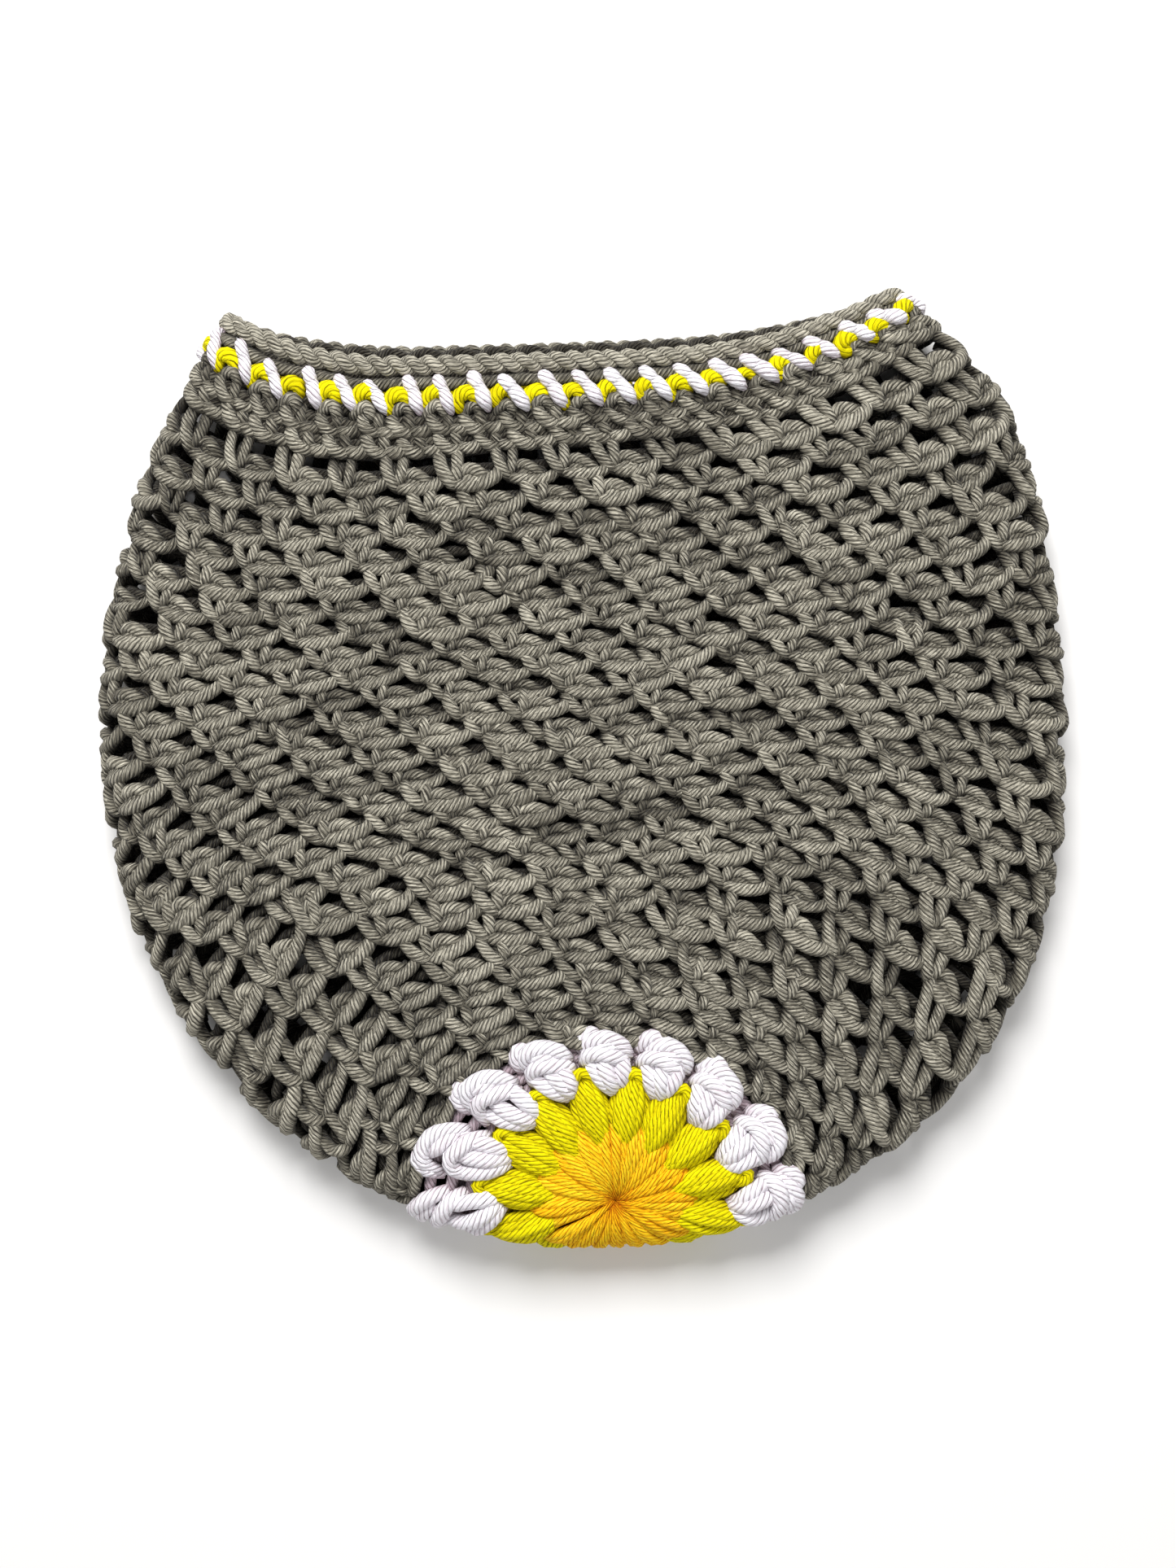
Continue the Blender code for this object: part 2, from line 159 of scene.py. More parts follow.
# Each stroke is one strand of yarn. Its rows hold how far across and how far up, in pixels of
# the photograph, then its height over the middle of the wall in mm, then its thickness.
LEFT_LEG = (
    (-17, 36, -1.3, 1.0),
    (-17, 28, 0.0, 1.02),
    (-14, 18, 1.1, 1.05),
    (-8, 8, 1.4, 1.05),
    (-1, 0, 0.9, 0.95),
    (5, -4, -0.3, 0.8),
)
RIGHT_LEG = (
    (9, 35, -1.2, 0.95),
    (11, 27, 0.2, 1.0),
    (11, 18, 1.0, 1.0),
    (9, 9, 1.0, 0.95),
    (4, 1, 0.2, 0.8),
)
BAR = (
    (1, 1, -0.5, 0.85),
    (10, -3, 0.5, 1.0),
    (23, -5, 1.1, 1.08),
    (41, -5, 1.25, 1.1),
    (58, -2, 1.1, 1.06),
    (70, 4, 0.75, 1.02),
    (77, 13, -0.2, 0.97),
    (80, 23, -1.35, 0.9),
)
UPPER_LOOP = (
    (10, 6, -0.6, 0.85),
    (17, 11, 0.6, 0.95),
    (29, 13, 1.05, 1.0),
    (41, 9, 1.0, 1.0),
    (50, 4, 0.5, 0.9),
    (57, 0, -0.5, 0.8),
)
FILLING = (
    (12, 1, -0.8, 0.80),
    (21, 3, 0.35, 0.90),
    (34, 4, 0.5, 0.95),
    (47, 2, 0.3, 0.90),
    (58, 6, -0.7, 0.80),
)
MOSS_PAIR = (LEFT_LEG, RIGHT_LEG, BAR, UPPER_LOOP, FILLING)
# In a tall round the stitch keeps its size, and only its legs grow, from and to these heights
LEG_START = 9.0
LEG_END = 27.0
STRETCH_KEPT = 0.65
STRETCH_PLUMP = 0.2

# Single crochet of the collar
COLLAR_START = 0.0004
COLLAR_LEAN = 0.4
COLLAR_PLUMP = 1.1
SINGLE_PITCH = 40.0
SINGLE_HEIGHT = 24.0
SINGLE_STITCH = (
    (
        (-15, 26, -1.2, 1.0),
        (-13, 17, 0.6, 1.0),
        (-8, 8, 1.2, 1.0),
        (0, 1, 1.1, 1.0),
        (9, 0, 0.2, 0.9),
        (14, 4, -0.9, 0.8),
    ),
    (
        (3, 28, -1.2, 0.9),
        (5, 19, 0.3, 0.95),
        (8, 9, 0.3, 0.9),
        (9, 2, -0.8, 0.8),
    ),
    (
        (6, 9, -0.9, 0.9),
        (14, 2, 0.4, 1.0),
        (24, 0, 0.8, 1.0),
        (32, 6, 0.1, 1.0),
        (38, 14, -1.1, 0.9),
    ),
)

# One stitch of the stripe, about the pinch under the white head
PINCH_BELOW_RIM = 0.0022
STRIPE_PHASE = 0.35
WHITE_STITCH = (
    (-14, 14, 0.4, 0.75),
    (-11, 11, 1.7, 1.05),
    (-6, 5, 2.1, 1.15),
    (-2, 0, 1.8, 1.04),
    (3, -7, 2.1, 1.20),
    (7, -14, 2.2, 1.25),
    (11, -20, 1.7, 1.05),
    (14, -25, 0.9, 0.65),
    (15, -27, 0.2, 0.35),
)
YELLOW_ARCH = (
    (22, -26, -0.4, 0.8),
    (18, -20, 0.8, 1.05),
    (16, -12, 1.3, 1.2),
    (21, -5, 1.6, 1.25),
    (29, -4, 1.4, 1.25),
    (35, -10, 0.6, 1.1),
    (39, -16, -0.5, 0.9),
)
TAUPE_BUMP = (
    (21, -32, -0.4, 0.9),
    (25, -23, 0.8, 1.0),
    (32, -18, 1.1, 1.0),
    (39, -24, 0.6, 1.0),
    (43, -33, -0.4, 0.9),
)

# The flower, drawn with its outer end up: mm across, mm from the pole, height, thickness.
# A bundle's strands drop by so many mm from its middle to its sides.
PUFF_TURN = math.radians(14.5)
PUFF_STRANDS = 6
PUFF_HALF_WIDTH = 2.95
PUFF_DROP = 2.1
PUFF_SHAPE = (
    # share of the half width, mm from the pole, height, thickness
    (0.10, 8.6, -0.6, 0.60),
    (0.24, 10.4, 0.3, 0.75),
    (0.56, 13.4, 1.9, 0.90),
    (0.90, 16.8, 2.9, 1.0),
    (1.00, 20.0, 2.9, 1.0),
    (0.84, 23.2, 2.4, 0.95),
    (0.46, 25.8, 1.4, 0.85),
    (0.24, 27.4, -0.4, 0.75),
)
PUFF_TIP = (
    (-2.0, 23.8, 0.6, 0.8),
    (-1.5, 26.2, 2.2, 0.9),
    (0.2, 27.6, 2.3, 0.9),
    (1.6, 26.4, 2.0, 0.9),
    (1.9, 24.2, 0.6, 0.8),
)
EYE_STRANDS = 4
EYE_HALF_WIDTH = 2.2
EYE_DROP = 0.7
CLUSTER_WIDTH = 0.9
CLUSTER_PLUMP = 1.20
CLUSTER_UNEVENNESS = 1.5
PETAL_JITTER = (0.18, 0.16, 0.10)
EYE_SHAPE = (
    # share of the half width, mm from the pole, height, thickness
    (0.04, 0.5, -1.2, 0.30),
    (0.10, 1.4, -0.1, 0.40),
    (0.22, 3.0, 1.0, 0.50),
    (0.46, 5.6, 1.9, 0.66),
    (0.74, 8.8, 2.3, 0.82),
    (1.00, 12.0, 2.3, 0.90),
    (0.86, 14.6, 1.7, 0.85),
    (0.40, 16.6, 0.4, 0.70),
    (0.30, 17.6, -0.8, 0.60),
)
CLUSTER = (
    (
        (1.2, 22.6, -0.6, 0.9),
        (-0.2, 24.4, 1.6, 1.15),
        (-2.0, 26.8, 2.4, 1.25),
        (-3.4, 29.0, 1.8, 1.15),
        (-4.0, 30.4, 0.5, 0.9),
    ),
    (
        (1.6, 22.8, -0.2, 0.9),
        (1.2, 24.8, 2.2, 1.15),
        (0.3, 27.2, 3.1, 1.25),
        (-0.5, 29.6, 2.4, 1.15),
        (-0.8, 31.2, 0.9, 0.9),
    ),
    (
        (1.9, 23.0, -0.2, 0.9),
        (2.9, 25.0, 1.9, 1.15),
        (3.3, 27.4, 2.8, 1.25),
        (2.9, 29.8, 2.2, 1.15),
        (2.3, 31.2, 0.7, 0.9),
    ),
    (
        (-4.9, 28.8, 0.2, 0.9),
        (-3.7, 31.0, 2.2, 1.15),
        (-1.4, 31.7, 3.1, 1.2),
        (1.2, 31.0, 3.1, 1.2),
        (3.4, 30.0, 2.2, 1.15),
        (4.6, 28.4, 0.4, 0.9),
    ),
    (
        (-4.9, 31.4, 0.2, 0.9),
        (-3.8, 33.6, 1.8, 1.15),
        (-1.4, 34.7, 2.5, 1.2),
        (1.4, 34.3, 2.5, 1.2),
        (3.8, 32.7, 2.0, 1.15),
        (4.9, 30.4, 0.5, 0.9),
    ),
    (
        (-2.6, 33.9, 0.9, 0.9),
        (-0.8, 33.3, 2.7, 1.1),
        (1.2, 32.8, 2.7, 1.1),
        (2.9, 31.5, 1.0, 0.9),
    ),
    (
        (-5.6, 31.6, -0.4, 0.9),
        (-5.6, 33.6, 1.1, 1.05),
        (-4.2, 35.4, 1.5, 1.05),
        (-2.4, 35.2, 1.1, 1.0),
        (-1.6, 33.8, 0.2, 0.9),
    ),
)

# Plain rings behind the flower: their heights, their points, and mm from the pole
BACKING_LIFT = -1.2
BACKING_SAMPLES = 72
EYE_BACKING = (2.0, 4.2, 6.4, 8.6, 10.8)
PUFF_BACKING = (13.0, 15.2, 17.4, 19.6, 21.8, 24.0)
CLUSTER_BACKING = (26.2, 28.4, 30.6, 32.8)

# Strands that go all the way round: wave along the wall, height and swell in mm, thickness
RING_SAMPLES = 12
RING_WAVES = 15
MOSS_RING = (0.0003, -1.45, 0.15, 0.95)
MOSS_RING_UP = 0.42
PAIRS_A_WAVE = 3
COLLAR_RING = (0.0003, -0.5, 0.1, 1.2)
COLLAR_RING_UPS = (0.1, 0.6)
STRIPE_RINGS = (
    # from the pinch, ring
    (-0.0030, (0.0002, -0.9, 0.1, 1.1)),
    (0.0014, (0.0002, 0.3, 0.1, 1.1)),
)
# The rim: two strands wound about each other over a third
RIM_TURNS = 40
RIM_BELOW_MOUTH = 0.0010
RIM_STRAND = (0.0009, 0.8, 0.7, 1.0)
RIM_FILLING = (0.0004, -1.1, 0.1, 1.05)
RIM_FILLING_DROP = 0.0002
# Lessens the rim's painted shade: its strands are coloured as if they stood so much higher
RIM_PAINTED_SHADE_LIFT = 0.0020

# The finish of all the yarn
ROUGHNESS = 0.85
SHEEN_ROUGHNESS = 0.5
SPECULAR = 0.12
STREAKS = (
    # times across a ply, times round the strand, noise detail, share
    (3.0, 4.0, 2.0, 0.6),
    (8.0, 9.0, 1.0, 0.4),
)
STREAK_CONTRAST = 2.8
STREAK_BASE = 0.9
STREAK_SHIFT = 9.0
FIBRE_RELIEF = 0.45
# The colour's shares: the ply's painted groove shade, the fibre streaks (partly tone, partly
# painted glint) and each strand's own tone
PLY_SHADE = 0.42
FIBRE_TONE_AND_GLINT = 0.58
TONE_SHADE = 0.04
# Where the colour ramp reaches its painted shade colour, the yarn's own colour and its painted
# lit colour
DARK_AT = 0.18
MID_AT = 0.56
LIGHT_AT = 0.88

# The floor, the lights and the camera
FLOOR_HALF_SIDE = 3.0
FLOOR_COLOUR = (0.78, 0.77, 0.76, 1)
FLOOR_ROUGHNESS = 0.7
AIR_LIGHT = 0.30
LAMPS = (
    # name, place, width, power
    ("window", (-0.15, 0.70, 0.85), 0.5, 17.0),
    ("fill", (0.25, -0.5, 0.9), 0.9, 3.5),
)
LENS = 50.0
CAMERA_PLACE = (0.0010, -0.0030, 0.462)

random = np.random.default_rng(7)


def curve_through(stations, steps):
    """A Catmull-Rom curve through the stations, with `steps` points for each stretch."""
    ends = [2 * stations[0] - stations[1], *stations, 2 * stations[-1] - stations[-2]]
    points = []
    for before, start, end, after in zip(ends, ends[1:], ends[2:], ends[3:]):
        for share in np.arange(steps) / steps:
            bend = 2 * before - 5 * start + 4 * end - after
            twist = 3 * start - before - 3 * end + after
            points.append(
                start + share * ((end - before) + share * (bend + share * twist)) / 2
            )
    return np.array([*points, stations[-1]])


def lengths_along(points):
    """The distance along the line to each of its points."""
    steps = np.linalg.norm(np.diff(points, axis=0), axis=1)
    return np.concatenate([[0.0], np.cumsum(steps)])


def fitted(points):
    """The curve scaled so that the bag's outer faces are centred and have the named sizes."""
    low = np.array([WALL - BAG_WIDTH, WALL - BAG_LENGTH]) / 2
    high = np.array([BAG_WIDTH - WALL, BAG_LENGTH - CORNER_LEAN * WALL]) / 2
    least, most = points.min(axis=0), points.max(axis=0)
    return low + (points - least) * (high - low) / (most - least)


def run_on(points):
    """The outline carried straight on past both mouth corners."""
    first = points[0] - points[1]
    last = points[-1] - points[-2]
    before = points[0] + OUTLINE_RUN_ON * first / np.linalg.norm(first)
    after = points[-1] + OUTLINE_RUN_ON * last / np.linalg.norm(last)
    return np.vstack([before, points, after])


EDGE = run_on(fitted(curve_through([np.array(row) for row in OUTLINE], OUTLINE_STEPS)))
EDGE_ALONG = lengths_along(EDGE)
LEFT_CORNER = OUTLINE_RUN_ON
RIGHT_CORNER = EDGE_ALONG[-1] - OUTLINE_RUN_ON
EDGE_TANGENT = np.gradient(EDGE, EDGE_ALONG, axis=0)
EDGE_TANGENT /= np.linalg.norm(EDGE_TANGENT, axis=1)[:, None]
EDGE_INWARD = np.column_stack([-EDGE_TANGENT[:, 1], EDGE_TANGENT[:, 0]])


def on_edge(along):
    """The outline's point and its inward direction at a distance along it."""
    place = np.array([np.interp(along, EDGE_ALONG, EDGE[:, k]) for k in (0, 1)])
    inward = np.array([np.interp(along, EDGE_ALONG, EDGE_INWARD[:, k]) for k in (0, 1)])
    return place, inward / np.linalg.norm(inward)


def foot_on_edge(points):
    """For each flat point: its distance inside the outline, the foot there and the way in."""
    start, run = EDGE[:-1], np.diff(EDGE, axis=0)
    share = ((points[:, None, :] - start) * run).sum(axis=2) / (run**2).sum(axis=1)
    share = np.clip(share, 0.0, 1.0)
    feet = start + share[:, :, None] * run
    nearest = np.linalg.norm(points[:, None, :] - feet, axis=2).argmin(axis=1)
    rows = np.arange(len(points))
    share = share[rows, nearest][:, None]
    feet = feet[rows, nearest]
    inward = (1 - share) * EDGE_INWARD[nearest] + share * EDGE_INWARD[nearest + 1]
    away = points - feet
    distance = np.linalg.norm(away, axis=1)
    inside = np.where((away * inward).sum(axis=1) < 0, -1.0, 1.0)
    straight = away * inside[:, None] / np.maximum(distance, TINY)[:, None]
    way = np.where((distance > ON_EDGE)[:, None], straight, inward)
    return distance * inside, feet, way


FRONT_LEVEL = BAG_HEIGHT - WALL / 2
BACK_LEVEL = WALL / 2


def nose(inset, reach):
    """The rounded fold: 0 at the outline and 1 from `reach` inwards."""
    return np.sqrt(1 - (1 - np.clip(inset / reach, 0.0, 1.0)) ** 2)


def smooth(share):
    """A soft step from 0 to 1."""
    share = np.clip(share, 0.0, 1.0)
    return share * share * (3 - 2 * share)


def front_height(inset):
    """The height of the front wall's middle at a distance inside the outline."""
    crown = FRONT_LEVEL - FOLD_HEIGHT - FRONT_NOSE
    rise = FRONT_NOSE * nose(inset, FRONT_NOSE) + crown * smooth(inset / CROWN_REACH)
    return FOLD_HEIGHT + rise


def back_height(inset):
    """The height of the back wall's middle at a distance inside the outline."""
    return FOLD_HEIGHT - (FOLD_HEIGHT - BACK_LEVEL) * nose(inset, BACK_NOSE)


def nose_table(height):
    """Inset against distance along the fabric, from the outline to where both agree."""
    inset = NOSE_REACH * (1 - np.cos(np.linspace(0, math.pi / 2, NOSE_SAMPLES)))
    along = lengths_along(np.column_stack([inset, height(inset)]))
    return along * NOSE_REACH / along[-1], inset


FRONT_NOSE_TABLE = nose_table(front_height)
BACK_NOSE_TABLE = nose_table(back_height)


def folded(points, front):
    """Flat points inside the outline, on the front or the back, laid on the wall's middle."""
    distance, feet, way = foot_on_edge(points)
    distance = np.maximum(distance, 0.0)
    inset = np.where(
        front,
        np.interp(distance, *FRONT_NOSE_TABLE),
        np.interp(distance, *BACK_NOSE_TABLE),
    )
    inset = np.where(distance < NOSE_REACH, inset, distance)
    flat = feet + way * inset[:, None]
    height = np.where(front, front_height(inset), back_height(inset))
    return np.column_stack([flat, height])


LOW_EDGE = np.array([POLE_SIDEWAYS, EDGE[:, 1].min()])
POLE_ALONG = EDGE_ALONG[np.linalg.norm(EDGE - LOW_EDGE, axis=1).argmin()]
POLE_FOOT, POLE_INWARD = on_edge(POLE_ALONG)
POLE = POLE_FOOT + POLE_FROM_FOLD * POLE_INWARD


def about_pole(reach, angle):
    """Places about the pole as if the front and the back lay flat side by side."""
    side_reach = np.where(np.cos(angle) > 0, CLUSTER_RIGHT_REACH, CLUSTER_LEFT_REACH)
    widening = side_reach * smooth((reach - PUFF_RADIUS) / (CLUSTER_RADIUS - PUFF_RADIUS))
    radius = reach * (1 + widening * np.cos(angle) ** 2)
    up = radius * np.sin(angle)
    up = np.where(up > 0, FLOWER_RISE * up, up)
    return np.stack([radius * np.cos(angle), up], axis=-1)


def fold_over(points):
    """Unrolled places turned into places on the front, or on the back past the fold."""
    distance, feet, way = foot_on_edge(points)
    front = distance >= 0
    return np.where(front[:, None], points, 2 * feet - points), front


def turn_angle(share, reach):
    """The angle about the pole. Half of a round's shares are on the front, above the fold."""
    crossing = math.asin(POLE_FROM_FOLD / max(reach, EYE_RADIUS))
    share = np.mod(share, 1.0)
    front = 2 * share * (math.pi + 2 * crossing) - crossing
    back = math.pi + crossing + (2 * share - 1) * (math.pi - 2 * crossing)
    return np.where(share < 0.5, front, back)


def past_flower(reach):
    """0 where rounds still follow the flower and 1 where they follow the bag's shape."""
    return smooth((reach - CLUSTER_RADIUS) / (BLEND_END - CLUSTER_RADIUS))


MOUTH_REACH = on_edge(LEFT_CORNER)[0][1] - POLE[1] - FRONT_DIP
MOUTH_MIDDLE = (on_edge(LEFT_CORNER)[0] + on_edge(RIGHT_CORNER)[0]) / 2
LEFT_START = CLUSTER_RADIUS * (1 + CLUSTER_LEFT_REACH)
RIGHT_START = CLUSTER_RADIUS * (1 + CLUSTER_RIGHT_REACH)
BODY_REACH = MOUTH_REACH - RIM_WIDTH - STRIPE_WIDTH - COLLAR_WIDTH
BODY_SHARE = (BODY_REACH - CLUSTER_RADIUS) / (MOUTH_REACH - CLUSTER_RADIUS)
PITCHES = np.interp(np.arange(MOSS_ROUNDS), *zip(*MIDDLE_PITCHES))
ROUND_SHARES = np.concatenate([[0.0], np.cumsum(PITCHES)]) / PITCHES.sum()
MOSS_REACHES = CLUSTER_RADIUS + ROUND_SHARES * (BODY_REACH - CLUSTER_RADIUS)


def side_progress(progress, narrowing):
    """How far up a side fold a round is that is so far up the middle."""
    if progress < 0:
        return progress
    if progress > BODY_SHARE:
        return 1 - narrowing * (1 - progress)
    body_end = 1 - narrowing * (1 - BODY_SHARE)
    rounds = np.linspace(0.0, body_end, MOSS_ROUNDS + 1)
    return np.interp(progress / BODY_SHARE, ROUND_SHARES, rounds)


def arc(start, end, middle, start_bend, end_bend):
    """A flat line over `middle` that bends down to both ends."""
    share = np.linspace(0.0, 1.0, LOOP_SAMPLES // 2, endpoint=False)
    from_middle = np.abs(1 - 2 * share)
    bend = np.where(share < 0.5, start_bend, end_bend)
    lift = (1 - from_middle**bend)[:, None]
    share = share[:, None]
    return start + share * (end - start) + lift * (middle - (start + end) / 2)


def loop(reach):
    """One round as a closed line of places on the wall, from the right fold over the front."""
    progress = (reach - CLUSTER_RADIUS) / (MOUTH_REACH - CLUSTER_RADIUS)
    right_run = RIGHT_CORNER - POLE_ALONG - RIGHT_START
    left_run = POLE_ALONG - LEFT_CORNER - LEFT_START
    right_side = RIGHT_START + right_run * side_progress(progress, RIGHT_NARROWING)
    left_side = LEFT_START + left_run * side_progress(progress, LEFT_NARROWING)
    right, _ = on_edge(POLE_ALONG + right_side)
    left, _ = on_edge(POLE_ALONG - left_side)
    across = POLE[0] + progress * (MOUTH_MIDDLE[0] - POLE[0])
    front_middle = np.array([across, POLE[1] + reach])
    back_start = POLE_FOOT[1] + CLUSTER_RADIUS - POLE_FROM_FOLD
    back_end = MOUTH_MIDDLE[1] - BACK_DIP
    back_middle = np.array([across, back_start + progress * (back_end - back_start)])
    flat = np.vstack(
        [
            arc(right, left, front_middle, RIGHT_BEND, LEFT_BEND),
            arc(left, right, back_middle, LEFT_BEND, RIGHT_BEND),
        ]
    )
    front = np.arange(LOOP_SAMPLES) < LOOP_SAMPLES // 2
    blend = past_flower(reach)
    if blend < 1:
        _, feet, _ = foot_on_edge(flat)
        spread = np.where(front[:, None], flat, 2 * feet - flat)
        angle = turn_angle(np.arange(LOOP_SAMPLES) / LOOP_SAMPLES, reach)
        mixed = blend * spread + (1 - blend) * (POLE + about_pole(reach, angle))
        flat, front = fold_over(mixed)
    return folded(flat, front)


def even_loop(reach):
    """A round's places, evenly spaced over the front and over the back."""
    line = loop(reach)
    closed = np.vstack([line, line[:1]])
    along = lengths_along(closed)
    share = np.arange(LOOP_SAMPLES) / LOOP_SAMPLES
    by_turn = along[:-1]
    even = np.interp(share, [0.0, 0.5, 1.0], along[[0, LOOP_SAMPLES // 2, -1]])
    wanted = by_turn + past_flower(reach) * (even - by_turn)
    return np.column_stack([np.interp(wanted, along, closed[:, k]) for k in range(3)])


def unit(vectors):
    """The vectors at length 1."""
    return vectors / np.maximum(np.linalg.norm(vectors, axis=-1), TINY)[..., None]


class Sheet:
    """The wall sampled on a grid, read back with smooth lookups."""

    def __init__(self, points, first, step, wraps):
        self.points, self.first, self.step, self.wraps = points, first, step, wraps
        if wraps:
            across = np.roll(points, -1, axis=1) - np.roll(points, 1, axis=1)
        else:
            across = np.gradient(points, axis=1)
        up = np.gradient(points, axis=0)
        self.outward = unit(np.cross(up, across))

    def at(self, row, column, lift):
        """Places at a height over the wall's middle, and the outward directions there."""
        row = (row - self.first[0]) / self.step[0]
        column = (column - self.first[1]) / self.step[1]
        rows, columns = self.points.shape[:2]
        row = np.clip(row, 0, rows - LAST_CELL)
        top = row.astype(int)
        if self.wraps:
            column = np.mod(column, columns)
            left = column.astype(int) % columns
            right = (left + 1) % columns
        else:
            column = np.clip(column, 0, columns - LAST_CELL)
            left = column.astype(int)
            right = left + 1
        down = (row - top)[..., None]
        over = (column - np.floor(column))[..., None]
        found = []
        for grid in (self.points, self.outward):
            upper = grid[top, left] * (1 - over) + grid[top, right] * over
            lower = grid[top + 1, left] * (1 - over) + grid[top + 1, right] * over
            found.append(upper * (1 - down) + lower * down)
        place, outward = found[0], unit(found[1])
        return place + outward * np.asarray(lift)[..., None], outward


ROUND_REACHES = np.arange(FIRST_REACH, MOUTH_REACH + PAST_MOUTH, ROUND_STEP)
WALL_SHEET = Sheet(
    np.array([even_loop(reach) for reach in ROUND_REACHES]),
    (ROUND_REACHES[0], 0.0),
    (ROUND_STEP, 1 / LOOP_SAMPLES),
    wraps=True,
)
FLOWER_SPAN = np.arange(-FLOWER_SPAN_END, FLOWER_SPAN_END + FLOWER_STEP / 2, FLOWER_STEP)


def flower_sheet():
    """The wall about the pole, on a square grid of places unrolled from it."""
    rows = []
    for up in FLOWER_SPAN:
        flat = np.column_stack([FLOWER_SPAN, np.full(len(FLOWER_SPAN), up)]) + POLE
        rows.append(folded(*fold_over(flat)))
    points = np.array(rows)
    sheet = Sheet(points, (FLOWER_SPAN[0],) * 2, (FLOWER_STEP,) * 2, wraps=False)
    # Its columns run the other way from those of the rounds
    sheet.outward = -sheet.outward
    return sheet


FLOWER_SHEET = flower_sheet()


def quad_corners(start, end, turn):
    """Run and turn along the strand at the four corners of each quad of a tube."""
    next_turn = turn + 1 / SIDES
    corners = ((start, turn), (start, next_turn), (end, next_turn), (end, turn))
    return np.stack([np.stack(corner, axis=-1) for corner in corners], axis=-2)


class Yarn:
    """Strands of yarn gathered into one piece."""

    def __init__(self):
        self.points, self.quads, self.corners = [], [], []
        self.tones, self.painted_shade_clearances = [], []
        self.count = 0

    def lay(self, paths, outward, lifts, radii, closed=False):
        """Adds a tube along each path. `paths` and `outward` are strands x points x 3."""
        strands, length = paths.shape[:2]
        if closed:
            ahead = np.roll(paths, -1, axis=1) - np.roll(paths, 1, axis=1)
        else:
            ahead = np.gradient(paths, axis=1)
        ahead = unit(ahead)
        side = np.empty_like(paths)
        current = outward[:, 0]
        for index in range(length):
            step = ahead[:, index]
            current = unit(current - (current * step).sum(axis=1)[:, None] * step)
            side[:, index] = current
        other = np.cross(ahead, side)
        radii = radii * random.normal(1, LUMPS, (strands, length))
        radii = radii[..., None, None]
        angle = 2 * math.pi * np.arange(SIDES) / SIDES
        ring = (
            np.cos(angle)[:, None] * side[:, :, None, :]
            + np.sin(angle)[:, None] * other[:, :, None, :]
        )
        points = paths[:, :, None, :] + radii * ring
        # How high each point stands over the wall's middle; it sets only the painted shade
        height = (ring * outward[:, :, None, :]).sum(axis=3) * radii[..., 0]
        height = height + np.broadcast_to(lifts, (strands, length))[..., None]
        self.painted_shade_clearances.append(smooth(height / PAINTED_SHADE_CLEARANCE).ravel())
        shape = (strands, length, SIDES)
        index = self.count + np.arange(strands * length * SIDES).reshape(shape)
        following = np.roll(index, -1, axis=2)
        steps = np.linalg.norm(np.diff(paths, axis=1), axis=2)
        along = np.concatenate([np.zeros((strands, 1)), np.cumsum(steps, axis=1)], axis=1)
        along = along + random.uniform(0, TWIST_START, (strands, 1))
        run = np.broadcast_to(along[:, :, None], shape)
        turn = np.broadcast_to(np.arange(SIDES) / SIDES, shape)
        self.add(
            (index[:, :-1], following[:, :-1], following[:, 1:], index[:, 1:]),
            quad_corners(run[:, :-1], run[:, 1:], turn[:, 1:]),
        )
        if closed:
            last = run[:, -1] + steps[:, -1:].mean()
            self.add(
                (index[:, -1], following[:, -1], following[:, 0], index[:, 0]),
                quad_corners(run[:, -1], last, turn[:, -1]),
            )
        else:
            self.cap(index[:, 0, ::-1], run[:, 0])
            self.cap(index[:, -1], run[:, -1])
        self.points.append(points.reshape(-1, 3))
        tone = random.normal(0, 1, (strands, 1, 1))
        self.tones.append(np.broadcast_to(tone, shape).ravel())
        self.count += strands * length * SIDES

    def add(self, indices, corners):
        """Keeps the quads of these point numbers and their run and turn."""
        self.quads.append(np.stack(indices, axis=-1).reshape(-1, 4))
        self.corners.append(corners.reshape(-1, 4, 2))

    def cap(self, ring, run):
        """Closes a tube's end with a row of quads across it."""
        for low in range(SIDES // 2 - 1):
            picked = [low, low + 1, SIDES - 2 - low, SIDES - 1 - low]
            corner = np.stack([run[:, picked], np.full((len(ring), 4), 0.5)], axis=-1)
            self.add(ring[:, picked].T, corner)

    def piece(self, name, finish, slot, *nodes):
        """The strands as one object that rides on the bag and stands for its solids."""
        points = np.concatenate(self.points)
        points[:, 2] = np.maximum(points[:, 2], FLOOR_CLEARANCE)
        quads = np.concatenate(self.quads)
        corners = np.concatenate(self.corners)
        mesh = bpy.data.meshes.new(name)
        mesh.vertices.add(len(points))
        mesh.vertices.foreach_set("co", points.astype(np.float32).ravel())
        mesh.loops.add(quads.size)
        mesh.loops.foreach_set("vertex_index", quads.astype(np.int32).ravel())
        mesh.polygons.add(len(quads))
        mesh.polygons.foreach_set("loop_start", np.arange(0, quads.size, 4, dtype=np.int32))
        mesh.update(calc_edges=True)
        strand = mesh.uv_layers.new(name="strand")
        strand.uv.foreach_set("vector", corners.astype(np.float32).ravel())
        # Each strand's own tone, and how far each point is clear of the painted shade
        for title, values in (("tone", self.tones), ("clear_of_painted_shade", self.painted_shade_clearances)):
            attribute = mesh.attributes.new(title, "FLOAT", "POINT")
            attribute.data.foreach_set("value", np.concatenate(values).astype(np.float32))
        mesh.shade_smooth()
        mesh.materials.append(finish)
        mesh.validate()
        made = bpy.data.objects.new(name, mesh)
        bpy.context.scene.collection.objects.link(made)
        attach(made, "root")
        if nodes:
            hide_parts(*nodes)
        print(name, 2 * len(quads), "triangles")
        return made


def stroke(table):
    """The smooth line through a stroke's rows, with a point between each two."""
    return curve_through([np.array(row, dtype=float) for row in table], 2)


